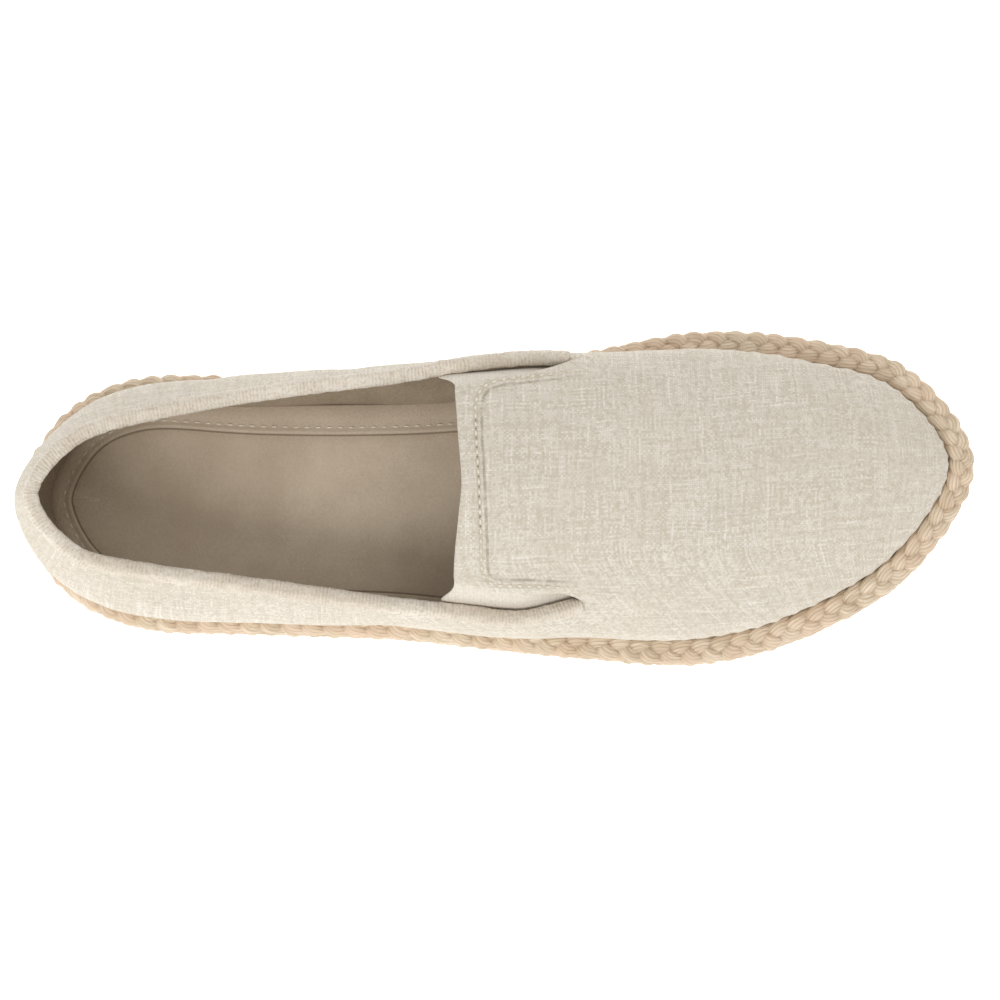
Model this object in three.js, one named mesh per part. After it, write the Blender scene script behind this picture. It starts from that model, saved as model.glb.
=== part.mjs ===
// A flat slip-on espadrille for the right foot, standing on its sole.
// Millimetres. +X runs to the toe, +Y to the medial (big-toe) side, +Z up.
// Rubber outsole, jute core with two rows of glued braid round its edge, a soft
// linen upper with a slit on each side of its instep tab, an elastic gore behind
// each slit, and a folded binding round the collar.
import * as THREE from 'three';
import { mergeVertices } from 'three/addons/utils/BufferGeometryUtils.js';

// ---- Driving dimensions -------------------------------------------------------
const GAP = 0.3;                 // air left between pieces that touch
const OUTSOLE_THICK = 3.4;
const OUTSOLE_INSET = 1.0;       // rubber stands this far inside the braid
const OUTSOLE_BEVEL = 1.4;       // chamfer round the rubber's bottom edge
const CORE_TOP = 12.0;           // height of the jute core that the upper sits on
const BRAID_WIDE = 7.2;          // braid section across the edge
const BRAID_HIGH = 6.8;
const BRAID_TILT = 24;           // degrees that the upper row leans over the core
const FEATHER_INSET = 7.8;       // sole edge to the foot of the upper
const UPSTAND = 5.6;             // the foot of the upper stands upright behind the braid
const WALL = 1.8;                // linen, backing and lining together
const INSOLE_THICK = 4.0;
const INSOLE_BEVEL = 1.2;
const TOE_SPRING = 6.0;
const SPRING_START = 62;         // where the sole begins to rise to the toe
const ARCH_RISE = 1.8;
const ARCH_FROM = -66;
const ARCH_TO = -6;
const SLIT_OPEN = 11.0;          // width of a side slit at the collar
const BINDING_THICK = 0.8;
const BINDING_OUTER_LEG = 3.2;
const BINDING_INNER_LEG = 4.0;
const BINDING_CHAMFER = 0.6;
const BINDING_SHORT = 0.16;      // sections between the binding's end and the slit's
const GORE_THICK = 1.0;
const GORE_LAP_BELOW = 0.16;     // share of the side wall that the gore runs behind
const GORE_LAP_ABOVE = 0.07;     // share of the tab that it runs behind
const GORE_PAST_SLIT = 0.25;     // sections that it runs on beyond the slit's end
const COLUMNS_PER_SECTION = 4;

// ---- The last, a row for each section from heel to toe ---------------------------
// x: section place on the sole. sole: braid's outer edge. line: the side line of the
// upper, which is the collar edge behind the throat. slant: how much further forward
// the line lies on the lateral side. ridge: the last's top line.
// flare: degrees that the wall leans out where it leaves the sole.
const HEEL_END = {
  soleX: -129, soleY: -0.5, lineX: -120.5, lineY: -2, lineZ: 58.5,
  ridgeX: -100, ridgeY: 0, ridgeZ: 88, flare: 36,
};
const SECTIONS = [
  { name: 'heel corner', soleX: -118.5, soleLateral: -24, soleMedial: 22.5,
    lineX: -110.5, lineLateral: -16.3, lineMedial: 12.2, lineZ: 57,
    ridgeX: -98, ridgeY: 0, ridgeZ: 88, flareLateral: 38, flareMedial: 23 },
  { name: 'heel', soleX: -97, soleLateral: -35.6, soleMedial: 33.6,
    lineX: -95, lineLateral: -21.2, lineMedial: 18.8, lineZ: 53.5,
    ridgeX: -88, ridgeY: 0, ridgeZ: 85, flareLateral: 40, flareMedial: 31 },
  { name: 'quarter', soleX: -64, soleLateral: -37.5, soleMedial: 34.2,
    lineX: -62, lineLateral: -25.6, lineMedial: 25.6, lineZ: 49,
    ridgeX: -60, ridgeY: 0, ridgeZ: 79, flareLateral: 45, flareMedial: 46 },
  { name: 'waist', soleX: -28, soleLateral: -38.8, soleMedial: 34.6,
    lineX: -28, lineLateral: -30.4, lineMedial: 30, lineZ: 46.5,
    ridgeX: -28, ridgeY: 0.5, ridgeZ: 72, flareLateral: 38, flareMedial: 54 },
  { name: 'throat', soleX: -6, soleLateral: -41, soleMedial: 36,
    lineX: -10, lineLateral: -32.2, lineMedial: 33.5, lineZ: 45.5,
    ridgeX: -7.5, ridgeY: 1, ridgeZ: 65, flareLateral: 38, flareMedial: 43 },
  { name: 'slit middle', soleX: 9, soleLateral: -42.6, soleMedial: 37.9,
    lineX: 8, lineLateral: -34, lineMedial: 35.6, lineZ: 44.2,
    ridgeX: 8, ridgeY: 1.5, ridgeZ: 61.3, flareLateral: 35, flareMedial: 39 },
  { name: 'slit end', soleX: 24, soleLateral: -44, soleMedial: 40.6,
    lineX: 21.7, slant: 3.6, lineLateral: -29.9, lineMedial: 35.4, lineZ: 42,
    ridgeX: 22, ridgeY: 2, ridgeZ: 57, flareLateral: 30, flareMedial: 36 },
  { name: 'ball', soleX: 56, soleLateral: -45.6, soleMedial: 46.4,
    lineX: 54, lineLateral: -28, lineMedial: 32, lineZ: 37.5,
    ridgeX: 50, ridgeY: 3.5, ridgeZ: 49, flareLateral: 26, flareMedial: 26 },
  { name: 'forepart', soleX: 86, soleLateral: -38, soleMedial: 44.3,
    lineX: 82, lineLateral: -20.5, lineMedial: 29, lineZ: 32,
    ridgeX: 76, ridgeY: 6, ridgeZ: 41.4, flareLateral: 18, flareMedial: 18 },
  { name: 'toe corner', soleX: 114.5, soleLateral: -20.5, soleMedial: 35,
    lineX: 104.5, lineLateral: -9.5, lineMedial: 23.5, lineZ: 27.5,
    ridgeX: 93, ridgeY: 8, ridgeZ: 36, flareLateral: 8, flareMedial: 8 },
];
const TOE_END = {
  soleX: 131, soleY: 8.6, lineX: 115, lineY: 8.5, lineZ: 26.5,
  ridgeX: 97, ridgeY: 8.2, ridgeZ: 34.6, flare: 4,
};
const WALL_FULLNESS = 1.0;       // how strongly the wall keeps its flare going up
const SIDE_ROWS = [-1, 0, 0.2, 0.42, 0.64, 0.84, 1];
const VAMP_ROWS = [0, 0.13, 0.27, 0.42, 0.57, 0.72, 0.86, 1];

const SECTION_COUNT = SECTIONS.length * 2 + 2;
const COLUMNS = SECTION_COUNT * COLUMNS_PER_SECTION;
const TOE_ROW = SECTIONS.length + 1;
const THROAT_ROW = SECTIONS.findIndex((row) => row.name === 'throat') + 1;
const SLIT_END_ROW = SECTIONS.findIndex((row) => row.name === 'slit end') + 1;

// ---- Curves round the shoe --------------------------------------------------------
// Each runs from the heel along the lateral side, round the toe and back.
function lateral(row) {
  return {
    ...row,
    soleY: row.soleLateral,
    lineX: row.lineX + (row.slant ?? 0),
    lineY: row.lineLateral,
    flare: row.flareLateral,
  };
}

function medial(row) {
  return { ...row, soleY: row.soleMedial, lineY: row.lineMedial, flare: row.flareMedial };
}

const ROUND = [HEEL_END, ...SECTIONS.map(lateral), TOE_END, ...SECTIONS.map(medial).reverse()];

function closedCurve(pick) {
  return new THREE.CatmullRomCurve3(ROUND.map(pick), true, 'catmullrom', 0.5);
}

const soleCurve = closedCurve((row) => new THREE.Vector3(row.soleX, row.soleY, 0));
const lineCurve = closedCurve((row) => new THREE.Vector3(row.lineX, row.lineY, row.lineZ));
const flareCurve = closedCurve((row) => new THREE.Vector3(row.flare, 0, 0));
const ridgeCurve = new THREE.CatmullRomCurve3(
  ROUND.slice(0, TOE_ROW + 1).map((row) => new THREE.Vector3(row.ridgeX, row.ridgeY, row.ridgeZ)),
  false, 'catmullrom', 0.5);

// place counts sections round the shoe: 0 at the heel, TOE_ROW at the toe.
function wrap(place) {
  return (((place / SECTION_COUNT) % 1) + 1) % 1;
}

function outward(place) {
  const along = soleCurve.getTangent(wrap(place));
  return new THREE.Vector3(along.y, -along.x, 0).normalize();
}

function edge(place, inset, height) {
  const point = soleCurve.getPoint(wrap(place)).addScaledVector(outward(place), -inset);
  return point.setZ(height);
}

function ridge(place) {
  const fromHeel = place <= TOE_ROW ? place : SECTION_COUNT - place;
  return ridgeCurve.getPoint(fromHeel / TOE_ROW);
}

function ridgeSlope(place) {
  const fromHeel = place <= TOE_ROW ? place : SECTION_COUNT - place;
  const along = ridgeCurve.getTangent(fromHeel / TOE_ROW);
  return along.z / along.x;
}

// Rise of the whole shoe above the floor: arch and toe spring.
function rise(x) {
  if (x > SPRING_START) {
    return TOE_SPRING * ((x - SPRING_START) / (TOE_END.soleX - SPRING_START)) ** 2;
  }
  if (x > ARCH_FROM && x < ARCH_TO) {
    return ARCH_RISE * Math.sin((Math.PI * (x - ARCH_FROM)) / (ARCH_TO - ARCH_FROM)) ** 2;
  }
  return 0;
}

function lifted(point) {
  return point.clone().setZ(point.z + rise(point.x));
}

// ---- The upper's outer surface ------------------------------------------------------
function hermite(from, leave, to, arrive, u) {
  const u2 = u * u;
  const u3 = u2 * u;
  return new THREE.Vector3()
    .addScaledVector(from, 2 * u3 - 3 * u2 + 1)
    .addScaledVector(leave, u3 - 2 * u2 + u)
    .addScaledVector(to, 3 * u2 - 2 * u3)
    .addScaledVector(arrive, u3 - u2);
}

// climb goes -1 to 0 up behind the braid, 0 to 1 to the side line, 1 to 2 to the ridge.
function last(place, climb) {
  const foot = edge(place, FEATHER_INSET, CORE_TOP + GAP + UPSTAND * Math.min(climb + 1, 1));
  if (climb <= 0) {
    return foot;
  }
  const side = lineCurve.getPoint(wrap(place));
  const top = ridge(place);
  const low = side.distanceTo(foot);
  const high = top.distanceTo(side);
  const through = new THREE.Vector3()
    .addScaledVector(side.clone().sub(foot), high / low)
    .addScaledVector(top.clone().sub(side), low / high)
    .divideScalar(low + high);
  if (climb <= 1) {
    const lean = THREE.MathUtils.degToRad(flareCurve.getPoint(wrap(place)).x);
    const leave = outward(place).multiplyScalar(Math.sin(lean)).setZ(Math.cos(lean));
    leave.multiplyScalar(low * (1 + WALL_FULLNESS * Math.sin(lean)));
    return hermite(foot, leave, side, through.clone().multiplyScalar(low), climb);
  }
  const across = top.clone().sub(side).setZ(0).normalize();
  across.setZ(ridgeSlope(place) * across.x);
  return hermite(side, through.clone().multiplyScalar(high), top,
    across.multiplyScalar(high), climb - 1);
}

// Share of the vamp wall that a side slit takes away, from the collar to the slit's end.
function slitShare(place) {
  const fromHeel = place <= TOE_ROW ? place : SECTION_COUNT - place;
  const along = (fromHeel - THROAT_ROW) / (SLIT_END_ROW - THROAT_ROW);
  if (along >= 1) {
    return 0;
  }
  const side = lineCurve.getPoint(wrap(place));
  return (SLIT_OPEN * Math.sqrt(1 - along ** 2)) / ridge(place).distanceTo(side);
}

// ---- Making closed solids --------------------------------------------------------------
function toGeometry(points, faces) {
  const geometry = new THREE.BufferGeometry();
  const flat = points.flatMap((point) => [point.x, point.y, point.z]);
  geometry.setAttribute('position', new THREE.Float32BufferAttribute(flat, 3));
  geometry.setIndex(faces.flat());
  return mergeVertices(geometry, 1e-3);
}

function dropFlatFaces(index) {
  const kept = [];
  for (let i = 0; i < index.length; i += 3) {
    const [a, b, c] = [index[i], index[i + 1], index[i + 2]];
    if (a !== b && b !== c && c !== a) {
      kept.push([a, b, c]);
    }
  }
  return kept;
}

function quad(a, b, c, d) {
  return [[a, b, c], [a, c, d]];
}

// An open surface becomes a wall: its faces, a copy thick inside, and rims between.
function thicken(points, faces, depth, thick) {
  const open = toGeometry(points, faces);
  const kept = dropFlatFaces(Array.from(open.index.array));
  open.setIndex(kept.flat());
  open.computeVertexNormals();
  const at = open.attributes.position;
  const normal = open.attributes.normal;
  const count = at.count;
  const shell = [];
  for (const inward of [depth, depth + thick]) {
    for (let i = 0; i < count; i += 1) {
      const out = new THREE.Vector3().fromBufferAttribute(normal, i);
      shell.push(new THREE.Vector3().fromBufferAttribute(at, i).addScaledVector(out, -inward));
    }
  }
  const walls = kept.map((face) => [...face]);
  const uses = new Set(kept.flatMap(([a, b, c]) => [`${a},${b}`, `${b},${c}`, `${c},${a}`]));
  for (const [a, b, c] of kept) {
    walls.push([count + c, count + b, count + a]);
    for (const [from, to] of [[a, b], [b, c], [c, a]]) {
      if (!uses.has(`${to},${from}`)) {
        walls.push(...quad(to, from, count + from, count + to));
      }
    }
  }
  return toGeometry(shell.map(lifted), walls);
}

// Rings stacked in order, joined by walls, closed by strips across from side to side.
function stack(rings) {
  const points = rings.flat();
  const count = rings[0].length;
  const faces = [];
  for (let ring = 0; ring + 1 < rings.length; ring += 1) {
    for (let i = 0; i < count; i += 1) {
      const next = (i + 1) % count;
      faces.push(...quad(ring * count + i, ring * count + next,
        (ring + 1) * count + next, (ring + 1) * count + i));
    }
  }
  const roof = (rings.length - 1) * count;
  for (let i = 0; i < count / 2; i += 1) {
    const far = (count - i) % count;
    const strip = quad(i, far, count - i - 1, i + 1);
    faces.push(...strip);
    faces.push(...strip.map(([a, b, c]) => [roof + c, roof + b, roof + a]));
  }
  const solid = toGeometry(points.map(lifted), faces);
  solid.setIndex(dropFlatFaces(Array.from(solid.index.array)).flat());
  return solid;
}

// A section swept through frames, closed on itself or capped at both ends.
function sweep(frames, section, closed) {
  const points = frames.flatMap((frame) => section.map(([a, b]) => frame.at.clone()
    .addScaledVector(frame.out, a).addScaledVector(frame.up, b)));
  const count = section.length;
  const faces = [];
  const steps = closed ? frames.length : frames.length - 1;
  for (let step = 0; step < steps; step += 1) {
    const here = step * count;
    const there = ((step + 1) % frames.length) * count;
    for (let i = 0; i < count; i += 1) {
      const next = (i + 1) % count;
      faces.push(...quad(here + i, there + i, there + next, here + next));
    }
  }
  if (!closed) {
    const flat = section.map(([a, b]) => new THREE.Vector2(a, b));
    const end = (frames.length - 1) * count;
    for (const [a, b, c] of THREE.ShapeUtils.triangulateShape(flat, [])) {
      faces.push([a, b, c], [end + c, end + b, end + a]);
    }
  }
  return toGeometry(points.map(lifted), faces);
}

function everyColumn(make) {
  return Array.from({ length: COLUMNS }, (_, i) => make(i / COLUMNS_PER_SECTION));
}

function solid(name, geometry, color, roughness) {
  const mesh = new THREE.Mesh(geometry, new THREE.MeshStandardMaterial({
    color, roughness, metalness: 0,
  }));
  mesh.name = name;
  return mesh;
}

// ---- Sole ---------------------------------------------------------------------------------
function outsole() {
  return stack([
    everyColumn((place) => edge(place, OUTSOLE_INSET + OUTSOLE_BEVEL, 0)),
    everyColumn((place) => edge(place, OUTSOLE_INSET, OUTSOLE_BEVEL)),
    everyColumn((place) => edge(place, OUTSOLE_INSET, OUTSOLE_THICK)),
  ]);
}

function juteCore() {
  return stack([
    everyColumn((place) => edge(place, FEATHER_INSET, OUTSOLE_THICK + GAP)),
    everyColumn((place) => edge(place, FEATHER_INSET, CORE_TOP)),
  ]);
}

function insole() {
  const inset = FEATHER_INSET + WALL + GAP;
  const floor = CORE_TOP + GAP;
  return stack([
    everyColumn((place) => edge(place, inset, floor)),
    everyColumn((place) => edge(place, inset, floor + INSOLE_THICK - INSOLE_BEVEL)),
    everyColumn((place) => edge(place, inset + INSOLE_BEVEL, floor + INSOLE_THICK)),
  ]);
}

function ovalSection(wide, high, tilt) {
  const sides = 8;
  return Array.from({ length: sides }, (_, i) => {
    const turn = (2 * Math.PI * (i + 0.5)) / sides;
    const a = (wide / 2) * Math.cos(turn);
    const b = (high / 2) * Math.sin(turn);
    return [a * Math.cos(tilt) - b * Math.sin(tilt), a * Math.sin(tilt) + b * Math.cos(tilt)];
  });
}

// One row of glued braid round the edge of the core.
function braid(height, inset, tilt) {
  const frames = everyColumn((place) => ({
    at: edge(place, inset, height),
    out: outward(place),
    up: new THREE.Vector3(0, 0, 1),
  }));
  return sweep(frames, ovalSection(BRAID_WIDE, BRAID_HIGH, -THREE.MathUtils.degToRad(tilt)), true);
}

// ---- Upper ----------------------------------------------------------------------------------
function upper() {
  const points = [];
  const faces = [];
  const strip = (left, right) => {
    for (let i = 0; i + 1 < left.length; i += 1) {
      const base = points.length;
      points.push(left[i], right[i], right[i + 1], left[i + 1]);
      faces.push(...quad(base, base + 1, base + 2, base + 3));
    }
  };
  const sideWall = (place) => SIDE_ROWS.map((climb) => last(place, climb));
  const vampWall = (place) => {
    const from = slitShare(place);
    return VAMP_ROWS.map((climb) => last(place, 1 + from + (1 - from) * climb));
  };
  const step = 1 / COLUMNS_PER_SECTION;
  for (let i = 0; i < COLUMNS; i += 1) {
    strip(sideWall(i * step), sideWall((i + 1) * step));
  }
  for (let place = THROAT_ROW; place < SECTION_COUNT - THROAT_ROW; place += step) {
    strip(vampWall(place), vampWall(place + step));
  }
  return thicken(points, faces, 0, WALL);
}

// Elastic behind a side slit, lapping the collar below and the tab above.
function gore(fromPlace, toPlace) {
  const steps = COLUMNS_PER_SECTION * Math.round(toPlace - fromPlace) + 1;
  const rows = 5;
  const points = [];
  for (let column = 0; column <= steps; column += 1) {
    const place = fromPlace + ((toPlace - fromPlace) * column) / steps;
    const low = 1 - GORE_LAP_BELOW;
    const high = 1 + slitShare(place) + GORE_LAP_ABOVE;
    for (let row = 0; row <= rows; row += 1) {
      points.push(last(place, low + ((high - low) * row) / rows));
    }
  }
  const faces = [];
  for (let column = 0; column < steps; column += 1) {
    for (let row = 0; row < rows; row += 1) {
      const base = column * (rows + 1) + row;
      faces.push(...quad(base, base + rows + 1, base + rows + 2, base + 1));
    }
  }
  const depth = WALL + BINDING_THICK + 3 * GAP;
  return thicken(points, faces, depth, GORE_THICK);
}

// Folded band over the collar edge, from one slit's end round the heel to the other's.
function collarBinding() {
  const reach = SLIT_END_ROW - BINDING_SHORT;
  const nudge = 0.02;
  const justBelow = 0.9;
  const steps = Math.round(2 * reach * COLUMNS_PER_SECTION);
  const frames = [];
  for (let i = 0; i <= steps; i += 1) {
    const place = -reach + (2 * reach * i) / steps;
    const around = ((place % SECTION_COUNT) + SECTION_COUNT) % SECTION_COUNT;
    const at = last(around, 1);
    const up = at.clone().sub(last(around, justBelow)).normalize();
    const along = last(around + nudge, 1).sub(last(around - nudge, 1)).normalize();
    frames.push({ at, up, out: along.cross(up).normalize() });
  }
  const outer = GAP + BINDING_THICK;
  const inner = -WALL - GAP - BINDING_THICK;
  const top = GAP + BINDING_THICK;
  const section = [
    [GAP, -BINDING_OUTER_LEG], [outer, -BINDING_OUTER_LEG + BINDING_CHAMFER], [outer, 0],
    [outer - BINDING_CHAMFER, top], [inner + BINDING_CHAMFER, top], [inner, 0],
    [inner, -BINDING_INNER_LEG + BINDING_CHAMFER], [-WALL - GAP, -BINDING_INNER_LEG],
    [-WALL - GAP, GAP], [GAP, GAP],
  ];
  return sweep(frames, section, false);
}

// ---- The shoe ---------------------------------------------------------------------------------
const LOWER_BRAID_Z = OUTSOLE_THICK + GAP + BRAID_HIGH / 2;
const UPPER_BRAID_Z = LOWER_BRAID_Z + BRAID_HIGH + GAP;
const BRAID_INSET = BRAID_WIDE / 2;
const GORE_END = SLIT_END_ROW + GORE_PAST_SLIT;

const espadrille = new THREE.Group();
espadrille.add(
  solid('outsole', outsole(), 0xb08d62, 0.85),
  solid('jute_core', juteCore(), 0xb89a6c, 0.95),
  solid('braid_lower', braid(LOWER_BRAID_Z, BRAID_INSET, 0), 0xd2b991, 0.95),
  solid('braid_upper', braid(UPPER_BRAID_Z, BRAID_INSET, BRAID_TILT), 0xd6be97, 0.95),
  solid('insole', insole(), 0x9c8a76, 0.9),
  solid('upper', upper(), 0xded5c6, 0.9),
  solid('gore_lateral', gore(THROAT_ROW, GORE_END), 0xe2dacd, 0.8),
  solid('gore_medial', gore(SECTION_COUNT - GORE_END, SECTION_COUNT - THROAT_ROW), 0xe2dacd, 0.8),
  solid('collar_binding', collarBinding(), 0xd7c8b6, 0.95),
);

// The origin is the middle of the shoe's box, on the floor.
const box = new THREE.Box3().setFromObject(espadrille);
const middle = box.getCenter(new THREE.Vector3());
espadrille.position.set(-middle.x, -middle.y, -box.min.z);

export default espadrille;
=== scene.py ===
"""A natural linen espadrille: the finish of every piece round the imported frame."""
import math
import random

import bmesh
import bpy
import numpy as np
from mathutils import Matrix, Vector, noise
from mathutils.bvhtree import BVHTree
from mathutils.kdtree import KDTree


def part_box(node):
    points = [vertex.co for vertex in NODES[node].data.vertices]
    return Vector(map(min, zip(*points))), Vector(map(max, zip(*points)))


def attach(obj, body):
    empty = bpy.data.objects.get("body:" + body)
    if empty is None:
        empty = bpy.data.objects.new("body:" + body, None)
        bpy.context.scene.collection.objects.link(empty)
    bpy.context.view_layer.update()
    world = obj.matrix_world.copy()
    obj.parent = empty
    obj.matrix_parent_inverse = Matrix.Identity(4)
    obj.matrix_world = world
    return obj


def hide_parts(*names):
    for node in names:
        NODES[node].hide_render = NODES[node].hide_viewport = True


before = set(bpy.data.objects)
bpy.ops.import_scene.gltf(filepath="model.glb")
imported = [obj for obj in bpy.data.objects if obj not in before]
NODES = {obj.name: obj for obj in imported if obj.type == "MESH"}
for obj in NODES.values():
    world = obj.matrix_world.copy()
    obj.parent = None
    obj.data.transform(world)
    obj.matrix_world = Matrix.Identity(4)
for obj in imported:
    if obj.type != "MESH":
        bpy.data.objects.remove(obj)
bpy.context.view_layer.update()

MM = 0.001

# ---- Sizes that several pieces share ----
OUTSOLE_TOP = 3.4 * MM           # rubber thickness, before arch and toe spring
FLOOR_BED = 12.3 * MM            # where the footbed lies
ROPE_PROUD = 1.0 * MM            # outsole's corner out to the rope's outer edge
PLAIT_PERIOD = 17.4 * MM         # one strand's full wave
YARN_WIDE = 0.8 * MM             # one yarn within a strand of the braid
WEAVE_PITCH = 0.62 * MM
RIB_PITCH = 0.95 * MM            # ribs of the collar binding and of the elastic
TREAD_PITCH = 5.0 * MM
STITCH_FROM_SEAM = 1.65 * MM     # the tab's stitches, outside its seam

# ---- Camera ----
VIEW_AIM = Vector((1.0, -0.5, 10.0)) * MM
VIEW_DISTANCE = 0.99
VIEW_TILT = math.radians(4.0)    # leans over to the lateral side
VIEW_SCALE = 3.67 / MM           # picture units to a metre at the sole
VIEW_SIZE = 1000.0
SENSOR = 36.0


# ---- Small tools ----
def deselect():
    bpy.ops.object.select_all(action="DESELECT")


def only(piece):
    """Selects one object and makes it active."""
    if bpy.context.mode != "OBJECT":
        bpy.ops.object.mode_set(mode="OBJECT")
    deselect()
    piece.hide_set(False)
    piece.select_set(True)
    bpy.context.view_layer.objects.active = piece


def edit(piece, *steps):
    """Runs edit-mode steps on the whole mesh."""
    only(piece)
    bpy.ops.object.mode_set(mode="EDIT")
    bpy.ops.mesh.select_all(action="SELECT")
    for step in steps:
        step()
    bpy.ops.object.mode_set(mode="OBJECT")


def merge_near(distance=0.01 * MM):
    bpy.ops.mesh.remove_doubles(threshold=distance)


def face_out():
    bpy.ops.mesh.normals_make_consistent(inside=False)


def to_quads():
    angle = math.radians(60)
    bpy.ops.mesh.tris_convert_to_quads(face_threshold=angle, shape_threshold=angle)


def shade_smooth(piece):
    only(piece)
    bpy.ops.object.shade_smooth()


def smooth(piece, levels):
    """Subdivides a piece's surface and shades it smooth."""
    only(piece)
    modifier = piece.modifiers.new("Subsurf", "SUBSURF")
    modifier.levels = modifier.render_levels = levels
    bpy.ops.object.modifier_apply(modifier=modifier.name)
    shade_smooth(piece)


def vertex_rows(piece, key):
    vertices = piece.data.vertices
    flat = np.empty(len(vertices) * 3)
    vertices.foreach_get(key, flat)
    return flat.reshape(-1, 3)


def positions(piece):
    return vertex_rows(piece, "co")


def normals(piece):
    return vertex_rows(piece, "normal")


def place_points(piece, points):
    piece.data.vertices.foreach_set("co", np.asarray(points, float).reshape(-1))
    piece.data.update()


def add_object(name, data):
    """A new object in the scene, round this mesh, lamp or camera."""
    thing = bpy.data.objects.new(name, data)
    bpy.context.scene.collection.objects.link(thing)
    return thing


def built(name, points, faces):
    """A new mesh object from its points and faces."""
    data = bpy.data.meshes.new(name)
    data.from_pydata([tuple(point) for point in points], [], faces)
    return add_object(name, data)


def shaped_grid(name, points, wrap_rows=False, wrap_columns=False):
    """A grid primitive whose points are set row by row, its ends joined where it wraps."""
    shape = np.asarray(points, float)
    if wrap_rows:
        shape = np.concatenate([shape, shape[:1]], axis=0)
    if wrap_columns:
        shape = np.concatenate([shape, shape[:, :1]], axis=1)
    rows, columns = shape.shape[:2]
    deselect()
    bpy.ops.mesh.primitive_grid_add(x_subdivisions=columns - 1, y_subdivisions=rows - 1,
                                    size=1.0, calc_uvs=True)
    piece = bpy.context.object
    piece.name = name
    piece.data.name = name
    place_points(piece, shape)
    edit(piece, merge_near, face_out)
    shade_smooth(piece)
    return piece


def store(piece, name, values):
    """Keeps one number for each point, which the piece's material reads."""
    layer = piece.data.attributes.new(name, "FLOAT", "POINT")
    layer.data.foreach_set("value", np.asarray(values, np.float32))


def cad_copy(node, name):
    """A merged copy of a CAD node, in quads where its triangles pair up."""
    piece = add_object(name, NODES[node].data.copy())
    piece.data.name = name
    piece.data.materials.clear()
    edit(piece, merge_near, to_quads)
    return piece


def join(pieces, name):
    """Joins pieces into the first of them."""
    deselect()
    for piece in pieces:
        piece.select_set(True)
    bpy.context.view_layer.objects.active = pieces[0]
    bpy.ops.object.join()
    pieces[0].name = name
    pieces[0].data.name = name
    return pieces[0]


def finish_piece(piece, slot, materials, *nodes):
    """Gives a piece its materials and its place on the body, and hides the CAD nodes it
    replaces.
    """
    piece.data.materials.clear()
    for material in materials:
        piece.data.materials.append(material)
    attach(piece, "root")
    if nodes:
        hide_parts(*nodes)
    return piece


def unit(vectors):
    length = np.linalg.norm(vectors, axis=-1, keepdims=True)
    return vectors / np.maximum(length, 1e-12)


def ease(values, low, high):
    """0 up to low, 1 from high on, and a soft rise between them."""
    share = np.clip((values - low) / (high - low), 0, 1)
    return share * share * (3 - 2 * share)


def hump(values, width):
    """1 at zero, falling softly to nothing over about twice this width."""
    return np.exp(-(values / width) ** 2)


def ripple(points, scale, other, share):
    """Uneven heights of about -1 to 1: waves of one size and a share of another's."""
    return np.array([noise.noise(Vector(point) * scale)
                     + share * noise.noise(Vector(point) * other) for point in points])


def travelled(points):
    """How far along a row of points each one lies."""
    step = np.linalg.norm(np.diff(points, axis=0), axis=1)
    return np.concatenate([[0], np.cumsum(step)])


def read_off(points, marks, where):
    """Places on a row at these distances, the row's own points being at marks."""
    return np.stack([np.interp(where, marks, points[:, k]) for k in range(3)], -1)


def even(points, spacing):
    """The same row of points at even spacing."""
    marks = travelled(points)
    count = max(2, round(marks[-1] / spacing) + 1)
    return read_off(points, marks, np.linspace(0, marks[-1], count))


def softened(points, passes):
    """Rounds a row of points, its ends held."""
    points = points.copy()
    for _ in range(passes):
        points[1:-1] = (points[:-2] + 2 * points[1:-1] + points[2:]) / 4
    return points


def nearest(row, points):
    """For each point, which place of the row is nearest, and how far off it is."""
    tree = KDTree(len(row))
    for index, place in enumerate(row):
        tree.insert(place, index)
    tree.balance()
    found = [tree.find(point) for point in points]
    return (np.array([index for _, index, _ in found]),
            np.array([distance for _, _, distance in found]))


def signed_distance(points, row, most):
    """Distance to a row in plan, above zero on its left side, held within most."""
    ahead = unit(np.gradient(row, axis=0))
    which, distance = nearest(row, points)
    gap = points - row[which]
    left = ahead[which, 0] * gap[:, 1] - ahead[which, 1] * gap[:, 0]
    return np.sign(left) * np.minimum(distance, most)


def surface_of(piece):
    """A search tree of a piece's faces."""
    mesh = bmesh.new()
    mesh.from_mesh(piece.data)
    tree = BVHTree.FromBMesh(mesh)
    mesh.free()
    return tree


def laid_on(surface, row):
    """The places of a surface that are nearest a row of points."""
    return np.array([tuple(surface.find_nearest(Vector(point))[0]) for point in row])


# ---- The sole's edge ----
CURVE_STEPS = 16                 # points between two corners of the outsole
KEY_DIGITS = 5                   # decimals of a metre that tell corners apart
RINGS_UNDER = (1.0, 0.66, 0.33)  # shares of the way in to the sole's middle line
RINGS_OVER = (0.2, 0.4, 0.6, 0.8, 1.0)


def sole_corners():
    """The outsole's outer corners, from the heel by the lateral side, toe and medial side."""
    heights = {}
    for vertex in NODES["outsole"].data.vertices:
        key = (round(vertex.co.x, KEY_DIGITS), round(vertex.co.y, KEY_DIGITS))
        heights.setdefault(key, set()).add(round(vertex.co.z, KEY_DIGITS))
    ring = [(x, y, max(zs)) for (x, y), zs in heights.items() if len(zs) > 1]
    return np.array(sorted(ring, key=lambda corner: math.atan2(corner[1], corner[0])))


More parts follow.
